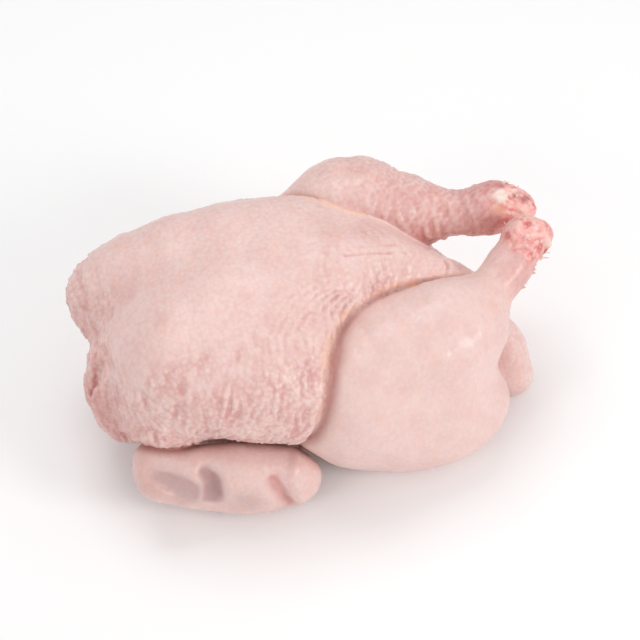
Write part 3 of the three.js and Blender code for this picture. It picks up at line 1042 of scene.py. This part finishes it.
@dataclass(frozen=True)
class RawSkin:
    """Plucked chicken skin, chilled and moist: pale, slightly clear, over fat and pink flesh.

    It gives the eye a soft cream pink that reddens where flesh lies close under it, fine mottling, and small
    wet glints on every pimple from its clear coat. Its colours also hold painted light: painted highlight
    that makes the pimples' tops paler, and painted shade between them, in the creases and in the wing's
    hollows.
    """

    name: str = "plucked_chicken_skin"
    cream: str = "#EBCEC8"
    pink: str = "#E0B4AF"
    # The pinker skin between pimples and beside folds, darkened there as painted shade.
    hollow: str = "#D39B95"
    # The paler tops of pimples and folds, brightened as painted highlight.
    tip: str = "#F3DED7"
    flesh: str = "#CC7B76"
    torn_deep: str = "#D46F6B"
    torn_high: str = "#F3B4AD"
    membrane: str = "#F7DCD5"
    fat: str = "#F1BEA1"
    # The dark red of painted crease shade, put down in the creases between torso, legs and wings.
    fold: str = "#A2594C"
    # The grey mauve of painted shade in the folded wing's hollows.
    painted_hollow_shade: str = "#9C7373"
    tendon: str = "#F0E2D6"
    blood: str = "#A23238"
    mottle_mm: float = 16.0
    fleck_mm: float = 1.6
    strand_mm: float = 3.2
    pore_mm: float = 2.6
    grain_mm: float = 0.7
    pimple_mm: float = 0.3
    ridge_mm: float = 2.6
    ridge_lean: float = 0.45
    ridge_stretch: Point = (1.0, 0.35, 0.35)
    subsurface: float = 0.25
    subsurface_mm: float = 1.5
    roughness: float = 0.5
    coat: float = 0.25
    coat_roughness: float = 0.18

    def build(self) -> bpy.types.Material:
        """The material: colours mixed by the mesh's shares, and by noise on the Object coordinates."""
        material = bpy.data.materials.new(self.name)
        material.use_nodes = True
        tree = material.node_tree
        tree.nodes.clear()
        place = add_node(tree, "ShaderNodeTexCoord").outputs["Object"]

        def noise(size_mm: float, detail: float) -> bpy.types.NodeSocket:
            scale = 1.0 / (size_mm * MM)
            return add_node(
                tree, "ShaderNodeTexNoise", None, {"Vector": place, "Scale": scale, "Detail": detail},
            ).outputs["Fac"]

        def share(name: str) -> bpy.types.NodeSocket:
            return add_node(tree, "ShaderNodeAttribute", {"attribute_name": name}).outputs["Fac"]

        def spread(value: bpy.types.NodeSocket, low: float, high: float, top: float) -> bpy.types.NodeSocket:
            inputs = {"Value": value, "From Min": low, "From Max": high, "To Min": 0.0, "To Max": top}
            return add_node(tree, "ShaderNodeMapRange", None, inputs).outputs["Result"]

        def times(one: bpy.types.NodeSocket, other: bpy.types.NodeSocket | float) -> bpy.types.NodeSocket:
            return add_node(tree, "ShaderNodeMath", {"operation": "MULTIPLY"}, {0: one, 1: other}).outputs[0]

        def plus(one: bpy.types.NodeSocket, other: bpy.types.NodeSocket) -> bpy.types.NodeSocket:
            return add_node(tree, "ShaderNodeMath", {"operation": "ADD"}, {0: one, 1: other}).outputs[0]

        def mixed(factor: object, one: object, other: str) -> bpy.types.NodeSocket:
            inputs = {0: factor, MIX_A: one, MIX_B: linear(other)}
            return add_node(tree, "ShaderNodeMix", {"data_type": "RGBA"}, inputs).outputs[MIX_OUT]

        mottle = spread(noise(self.mottle_mm, 4.0), 0.35, 0.7, 0.14)
        colour = mixed(mottle, linear(self.cream), self.pink)
        fleck = spread(noise(self.fleck_mm, 3.0), 0.4, 0.7, 0.16)
        colour = mixed(fleck, colour, self.pink)
        # Painted shade in the low places and painted highlight on the tops of pimples and folds, by the
        # skin's height.
        colour = mixed(spread(share("raised"), 0.55, 0.1, 0.6), colour, self.hollow)
        colour = mixed(spread(share("raised"), 0.6, 0.95, 0.45), colour, self.tip)
        # Fine pimples from a cell pattern: painted shade round each and painted highlight at its middle; the
        # same cells give the bump below.
        inputs = {"Vector": place, "Scale": 1.0 / (self.pore_mm * MM), "Randomness": 0.85}
        pore = add_node(tree, "ShaderNodeTexVoronoi", None, inputs).outputs["Distance"]
        colour = mixed(times(spread(pore, 0.5, 0.75, 0.4), share("goose")), colour, self.hollow)
        colour = mixed(times(spread(pore, 0.34, 0.12, 0.6), share("goose")), colour, self.tip)
        colour = mixed(times(share("blush"), 0.95), colour, self.flesh)
        torn = mixed(spread(share("raised"), 0.1, 0.75, 1.0), linear(self.torn_deep), self.torn_high)
        torn = mixed(spread(noise(self.strand_mm, 3.0), 0.5, 0.68, 0.7), torn, self.membrane)
        torn = mixed(spread(noise(self.strand_mm * 1.3, 3.0), 0.47, 0.3, 0.6), torn, self.torn_deep)
        colour = add_node(
            tree, "ShaderNodeMix", {"data_type": "RGBA"}, {0: share("bare"), MIX_A: colour, MIX_B: torn},
        ).outputs[MIX_OUT]
        colour = mixed(share("fat"), colour, self.fat)
        # Painted shade in the folded wing's hollows.
        colour = mixed(share("painted_hollow_shade"), colour, self.painted_hollow_shade)
        # Painted crease shade, dark red, down in the creases between torso, legs and wings.
        colour = mixed(times(share("crease"), 0.7), colour, self.fold)
        colour = mixed(share("fold"), colour, self.flesh)
        colour = mixed(share("gristle"), colour, self.tendon)
        colour = mixed(share("marrow"), colour, self.blood)
        inputs = {"Vector": place, "Rotation": (0.0, self.ridge_lean, 0.0), "Scale": self.ridge_stretch}
        drawn_out = add_node(tree, "ShaderNodeMapping", None, inputs).outputs["Vector"]
        inputs = {"Vector": drawn_out, "Scale": 1.0 / (self.ridge_mm * MM), "Detail": 1.0}
        ridge = add_node(tree, "ShaderNodeTexNoise", None, inputs).outputs["Fac"]
        fine = plus(spread(pore, 0.6, 0.05, 1.0), times(ridge, 1.6))
        height = plus(times(noise(self.grain_mm, 2.0), 0.5), times(fine, share("goose")))
        inputs = {"Strength": 0.6, "Distance": self.pimple_mm * MM, "Height": height}
        bump = add_node(tree, "ShaderNodeBump", None, inputs)
        inputs = {
            "Base Color": colour, "Roughness": self.roughness, "IOR": 1.4,
            "Subsurface Weight": self.subsurface, "Subsurface Radius": (1.0, 0.4, 0.25),
            "Subsurface Scale": self.subsurface_mm * MM, "Coat Weight": self.coat,
            "Coat Roughness": self.coat_roughness, "Normal": bump.outputs["Normal"],
        }
        shader = add_node(tree, "ShaderNodeBsdfPrincipled", None, inputs)
        add_node(tree, "ShaderNodeOutputMaterial", None, {"Surface": shader.outputs["BSDF"]})
        return material


def make_object(name: str, points: np.ndarray, faces: list[list[int]]) -> bpy.types.Object:
    """A mesh object from arrays.

    Args:
        name: the piece's name.
        points: its points in mm, in the bird's own frame.
        faces: its quads or triangles, as rows of point numbers.

    Returns:
        The object, in metres in the part's frame, smooth shaded.
    """
    mesh = bpy.data.meshes.new(name)
    mesh.from_pydata(((points + np.array(FRAME_SHIFT)) * MM).tolist(), [], faces)
    mesh.polygons.foreach_set("use_smooth", np.ones(len(mesh.polygons), bool))
    mesh.update()
    made = bpy.data.objects.new(name, mesh)
    bpy.context.scene.collection.objects.link(made)
    return made


def mesh_points(mesh: bpy.types.Mesh) -> np.ndarray:
    """A mesh's points in mm in the bird's own frame."""
    flat = np.empty(len(mesh.vertices) * 3, np.float32)
    mesh.vertices.foreach_get("co", flat)
    return flat.reshape(-1, 3) / MM - np.array(FRAME_SHIFT, np.float32)


def set_points(mesh: bpy.types.Mesh, points: np.ndarray) -> None:
    """Puts a mesh's points at places given in mm in the bird's own frame."""
    placed = (points + np.array(FRAME_SHIFT)) * MM
    mesh.vertices.foreach_set("co", placed.astype(np.float32).ravel())
    mesh.update()


def apply_modifier(piece: bpy.types.Object, kind: str, **settings: object) -> None:
    """Adds a modifier to a piece, keeps the mesh that it makes, and takes it off again."""
    modifier = piece.modifiers.new(kind.lower(), kind)
    for name, value in settings.items():
        setattr(modifier, name, value)
    graph = bpy.context.evaluated_depsgraph_get()
    made = bpy.data.meshes.new_from_object(piece.evaluated_get(graph))
    piece.modifiers.clear()
    piece.data = made


def iron(piece: bpy.types.Object, rounds: int = 8, least: float = 0.25) -> None:
    """Smooths out the few faces that fold over where the skin is tight.

    Args:
        piece: the mesh object.
        rounds: how often its faces are looked through.
        least: the cosine between a face's normal and a corner's under which the face counts as folded. Each
            of its corners then moves to the mean of its neighbours.
    """
    mesh = piece.data
    mesh.calc_loop_triangles()
    triangles = np.empty(len(mesh.loop_triangles) * 3, np.int32)
    mesh.loop_triangles.foreach_get("vertices", triangles)
    triangles = triangles.reshape(-1, 3)
    points = mesh_points(mesh).astype(float)
    count = len(points)
    start, end = triangles.ravel(), np.roll(triangles, -1, axis=1).ravel()
    share = np.bincount(start, minlength=count) + np.bincount(end, minlength=count)

    def gathered(index: np.ndarray, values: np.ndarray) -> np.ndarray:
        return np.stack([np.bincount(index, values[:, axis], count) for axis in range(3)], 1)

    for _ in range(rounds):
        a, b, c = (points[triangles[:, corner]] for corner in range(3))
        face = np.cross(b - a, c - a)
        corner = unit(sum(gathered(triangles[:, number], face) for number in range(3)))
        cosine = (corner[triangles] * unit(face)[:, None]).sum(2).min(1)
        folded = np.unique(triangles[cosine < least])
        if len(folded) == 0:
            break
        mean = (gathered(start, points[end]) + gathered(end, points[start])) / share[:, None]
        points[folded] = mean[folded]
    set_points(mesh, points)


@dataclass(frozen=True)
class Chicken:
    """The bird's one skin, from the cut shanks to the neck end."""

    bird: Bird = Bird()
    relief: SkinRelief = SkinRelief()
    tones: SkinTones = SkinTones()
    finish: RawSkin = RawSkin()
    cell: float = 1.65
    quick_cell: float = 2.6
    most_triangles: int = 196000

    def regions(self, points: np.ndarray) -> Regions:
        """The regions at points."""
        return Regions(points, self.bird.masses(points), self.bird)

    def build(self) -> bpy.types.Object:
        """Draws the skin, halves its quads, raises the relief along the field's slope and thins the mesh."""
        net = SurfaceNet(self.cell)
        points, quads = net.draw(self.bird.distance)
        piece = make_object("chicken_skin", points, quads.tolist())
        apply_modifier(piece, "SUBSURF", levels=1, render_levels=1)
        points = self.bird.settle(mesh_points(piece.data))
        slope = unit(gradient(self.bird.distance, points))
        points = points + slope * self.relief.height(self.regions(points))[:, None]
        low, high = (np.array(corner) / MM - FRAME_SHIFT for corner in cad_box)
        set_points(piece.data, np.clip(points, low, high))
        triangles = 2 * len(piece.data.polygons)
        if triangles > self.most_triangles:
            apply_modifier(piece, "DECIMATE", ratio=self.most_triangles / triangles)
        iron(piece)
        piece.data.polygons.foreach_set("use_smooth", np.ones(len(piece.data.polygons), bool))
        return piece

    def dress(self, piece: bpy.types.Object) -> None:
        """Gives the skin its shares and its material."""
        points = mesh_points(piece.data)
        for name, share in self.tones.shares(self.regions(points)).items():
            layer = piece.data.attributes.new(name, "FLOAT", "POINT")
            layer.data.foreach_set("value", np.clip(share, 0.0, 1.0).astype(np.float32))
        piece.data.materials.append(self.finish.build())


@dataclass(frozen=True)
class TornSkin:
    """Wet shreds of skin and membrane, thin enough to let light through: pale beige with a soft gleam."""

    name: str = "torn_membrane"
    colour: str = "#F2DDD5"
    clouded: str = "#EBB9B0"
    cloud_mm: float = 1.0
    roughness: float = 0.35

    def build(self) -> bpy.types.Material:
        """The material: one pale colour, clouded by noise a millimetre across."""
        material = bpy.data.materials.new(self.name)
        material.use_nodes = True
        tree = material.node_tree
        tree.nodes.clear()
        place = add_node(tree, "ShaderNodeTexCoord").outputs["Object"]
        inputs = {"Vector": place, "Scale": 1.0 / (self.cloud_mm * MM), "Detail": 3.0}
        cloud = add_node(tree, "ShaderNodeTexNoise", None, inputs)
        inputs = {0: cloud.outputs["Fac"], MIX_A: linear(self.colour), MIX_B: linear(self.clouded)}
        colour = add_node(tree, "ShaderNodeMix", {"data_type": "RGBA"}, inputs).outputs[MIX_OUT]
        inputs = {
            "Base Color": colour, "Roughness": self.roughness, "Subsurface Weight": 0.4,
            "Subsurface Radius": (1.0, 0.5, 0.35), "Subsurface Scale": 1.5 * MM, "Coat Weight": 0.3,
        }
        shader = add_node(tree, "ShaderNodeBsdfPrincipled", None, inputs)
        add_node(tree, "ShaderNodeOutputMaterial", None, {"Surface": shader.outputs["BSDF"]})
        return material


@dataclass(frozen=True)
class Fringe:
    """One knuckle's shreds: how many, where round and along the shank they root, and how long they are."""

    knuckle: Knuckle
    count: int
    angle: float
    spread: float
    behind: float
    ahead: float
    least: float
    most: float


@dataclass(frozen=True)
class Tatters:
    """The shreds of skin that stand off the knuckles: closed flat ribbons, each rooted in the flesh."""

    bird: Bird = Bird()
    finish: TornSkin = TornSkin()
    fringes: tuple[Fringe, ...] = (
        Fringe(NEAR_KNUCKLE, 22, -0.55, 0.35, -27.0, -2.0, 2.2, 4.6),
        Fringe(NEAR_KNUCKLE, 7, 1.2, 1.5, -10.0, -3.0, 1.2, 2.4),
        Fringe(FAR_KNUCKLE, 9, 0.9, 1.6, -11.0, -1.0, 1.4, 3.0),
    )
    rings: int = 7
    sides: int = 8
    width: float = 0.75
    thickness: float = 0.26
    root_depth: float = 0.6
    seed: int = 7

    def paths(self, fringe: Fringe) -> tuple[np.ndarray, np.ndarray, np.ndarray]:
        """Where each shred of a fringe runs.

        Args:
            fringe: the place on a cut end that they hang from.

        Returns:
            The middle line of each, its flat side's direction and its width: arrays of shred, ring and axis.
            A line starts under the skin and goes outward and on along the shank, bending as a parabola.
        """
        knuckle, count = fringe.knuckle, fringe.count
        rng = np.random.default_rng(self.seed + knuckle.seed + count)
        way = np.array(knuckle.way)
        side = unit(np.cross(way, (0.0, 0.0, 1.0)))
        top = np.cross(side, way)
        angle = fringe.angle + rng.uniform(-fringe.spread, fringe.spread, count)
        radial = np.cos(angle)[:, None] * side + np.sin(angle)[:, None] * top
        start = np.array(knuckle.tip) + rng.uniform(fringe.behind, fringe.ahead, count)[:, None] * way
        root = self.bird.settle((start + 10.0 * radial).astype(np.float32), rounds=8, cap=3.0)
        slope = unit(gradient(self.bird.distance, root))
        onward = rng.uniform(0.0, 0.7, count)[:, None] * way
        lean = unit(0.6 * slope + onward + rng.normal(0, 0.25, (count, 3)))
        length = rng.uniform(fringe.least, fringe.most, count)[:, None, None]
        bend = rng.normal(0, 0.35, (count, 3)) - 0.25 * slope
        t = np.linspace(0, 1, self.rings)[None, :, None]
        run = lean[:, None] * t + bend[:, None] * t * t
        middle = (root - self.root_depth * slope)[:, None] + length * run
        across = unit(np.cross(lean, slope) + rng.normal(0, 0.4, (count, 3)))
        taper = np.sqrt(np.clip(1 - t, 0, 1)) * (1 + 0.3 * np.sin(9 * t + angle[:, None, None])) + 0.12
        return middle, np.broadcast_to(across[:, None], middle.shape), self.width * taper

    def build(self) -> bpy.types.Object:
        """All the shreds as one mesh: an ellipse carried along each line, closed by a point at both ends."""
        middles, acrosses, widths = (np.concatenate(part) for part in zip(*map(self.paths, self.fringes)))
        total = len(middles)
        onward = unit(np.gradient(middles, axis=1))
        normal = unit(np.cross(onward, acrosses))
        flat = np.cross(normal, onward)
        turn = np.linspace(0, 2 * np.pi, self.sides, endpoint=False)[None, None, :, None]
        broad = flat[:, :, None] * np.cos(turn) * widths[:, :, None]
        thin = normal[:, :, None] * np.sin(turn) * self.thickness
        body = (middles[:, :, None] + (broad + thin)).reshape(total, -1, 3)
        points = np.concatenate([body, middles[:, :1], middles[:, -1:]], 1)
        row, column = np.meshgrid(np.arange(self.rings - 1), np.arange(self.sides), indexing="ij")
        after = (column + 1) % self.sides
        quads = np.stack([row * self.sides + column, (row + 1) * self.sides + column,
                          (row + 1) * self.sides + after, row * self.sides + after], -1).reshape(-1, 4)
        start, end = self.rings * self.sides, self.rings * self.sides + 1
        first = np.arange(self.sides)
        last = first + (self.rings - 1) * self.sides
        following = (first + 1) % self.sides
        caps = [[start, a, b] for a, b in zip(first, following)]
        caps += [[end, b, a] for a, b in zip(last, last - first + following)]
        step = points.shape[1]
        shred_faces = [*quads.tolist(), *caps]
        faces = [
            [number + shred * step for number in face] for shred in range(total) for face in shred_faces
        ]
        low, high = (np.array(corner) / MM - FRAME_SHIFT for corner in cad_box)
        piece = make_object("knuckle_shreds", np.clip(points.reshape(-1, 3), low, high), faces)
        piece.data.materials.append(self.finish.build())
        return piece


@dataclass(frozen=True)
class Studio:
    """Plain pale floor, large soft lights in an even white surround, and the camera looking down."""

    camera_at: Point = (-87.94, -501.73, 660.9)
    camera_right: Point = (0.9669, -0.2474, -0.0624)
    camera_up: Point = (0.2277, 0.7266, 0.6482)
    camera_back: Point = (-0.115, -0.6409, 0.7589)
    lens_mm: float = 80.27
    sensor_mm: float = 36.0
    floor_m: float = 8.0
    floor_colour: str = "#FCFCFC"
    world_colour: str = "#FFFFFF"
    world_strength: float = 0.655

    def camera(self) -> None:
        """Places the camera and makes it the scene's."""
        lens = bpy.data.cameras.new("camera")
        lens.lens, lens.sensor_width = self.lens_mm, self.sensor_mm
        camera = bpy.data.objects.new("camera", lens)
        turn = Matrix((self.camera_right, self.camera_up, self.camera_back)).transposed()
        camera.matrix_world = Matrix.Translation(Vector(self.camera_at) * MM) @ turn.to_4x4()
        bpy.context.scene.collection.objects.link(camera)
        bpy.context.scene.camera = camera

    def floor(self) -> None:
        """A matt pale floor under the bird."""
        half = self.floor_m / 2
        mesh = bpy.data.meshes.new("floor")
        corners = [(-half, -half, 0), (half, -half, 0), (half, half, 0), (-half, half, 0)]
        mesh.from_pydata(corners, [], [(0, 1, 2, 3)])
        floor = bpy.data.objects.new("floor", mesh)
        bpy.context.scene.collection.objects.link(floor)
        material = bpy.data.materials.new("matt_studio_paper")
        material.use_nodes = True
        shader = material.node_tree.nodes["Principled BSDF"]
        shader.inputs["Base Color"].default_value = linear(self.floor_colour)
        shader.inputs["Roughness"].default_value = 0.9
        mesh.materials.append(material)

    def lights(self) -> None:
        """A softbox overhead, one at the right, a faint one at the left, and an even white surround."""
        for name, at, size, power in (
            ("overhead", (-0.05, 0.35, 1.2), 0.6, 3.8),
            ("side", (0.9, -0.9, 0.7), 0.4, 6.2),
            ("fill", (-1.0, -0.7, 0.9), 0.4, 1.7),
        ):
            light = bpy.data.lights.new(name, "AREA")
            light.size, light.energy = size, power
            lamp = bpy.data.objects.new(name, light)
            aim = Vector((0, 0, 0.06)) - Vector(at)
            lamp.matrix_world = Matrix.Translation(at) @ aim.to_track_quat("-Z", "Y").to_matrix().to_4x4()
            bpy.context.scene.collection.objects.link(lamp)
        world = bpy.data.worlds.new("surround")
        bpy.context.scene.world = world
        world.use_nodes = True
        background = world.node_tree.nodes["Background"]
        background.inputs["Color"].default_value = linear(self.world_colour)
        background.inputs["Strength"].default_value = self.world_strength

    def build(self) -> None:
        """The camera, the floor and the lights."""
        self.camera()
        self.floor()
        self.lights()
        bpy.context.scene.view_settings.view_transform = "Standard"


def main() -> None:
    """Builds the bird and the studio."""
    logging.basicConfig(level=logging.INFO, format="%(name)s: %(message)s")
    chicken = Chicken()
    skin = chicken.build()
    chicken.dress(skin)
    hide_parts("chicken")
    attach(skin, "root")
    shreds = Tatters().build()
    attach(shreds, "root")
    for piece in (skin, shreds):
        log.info("%s: %d points, %d faces", piece.name, len(piece.data.vertices), len(piece.data.polygons))
    Studio().build()


if __name__ == "__main__":
    main()
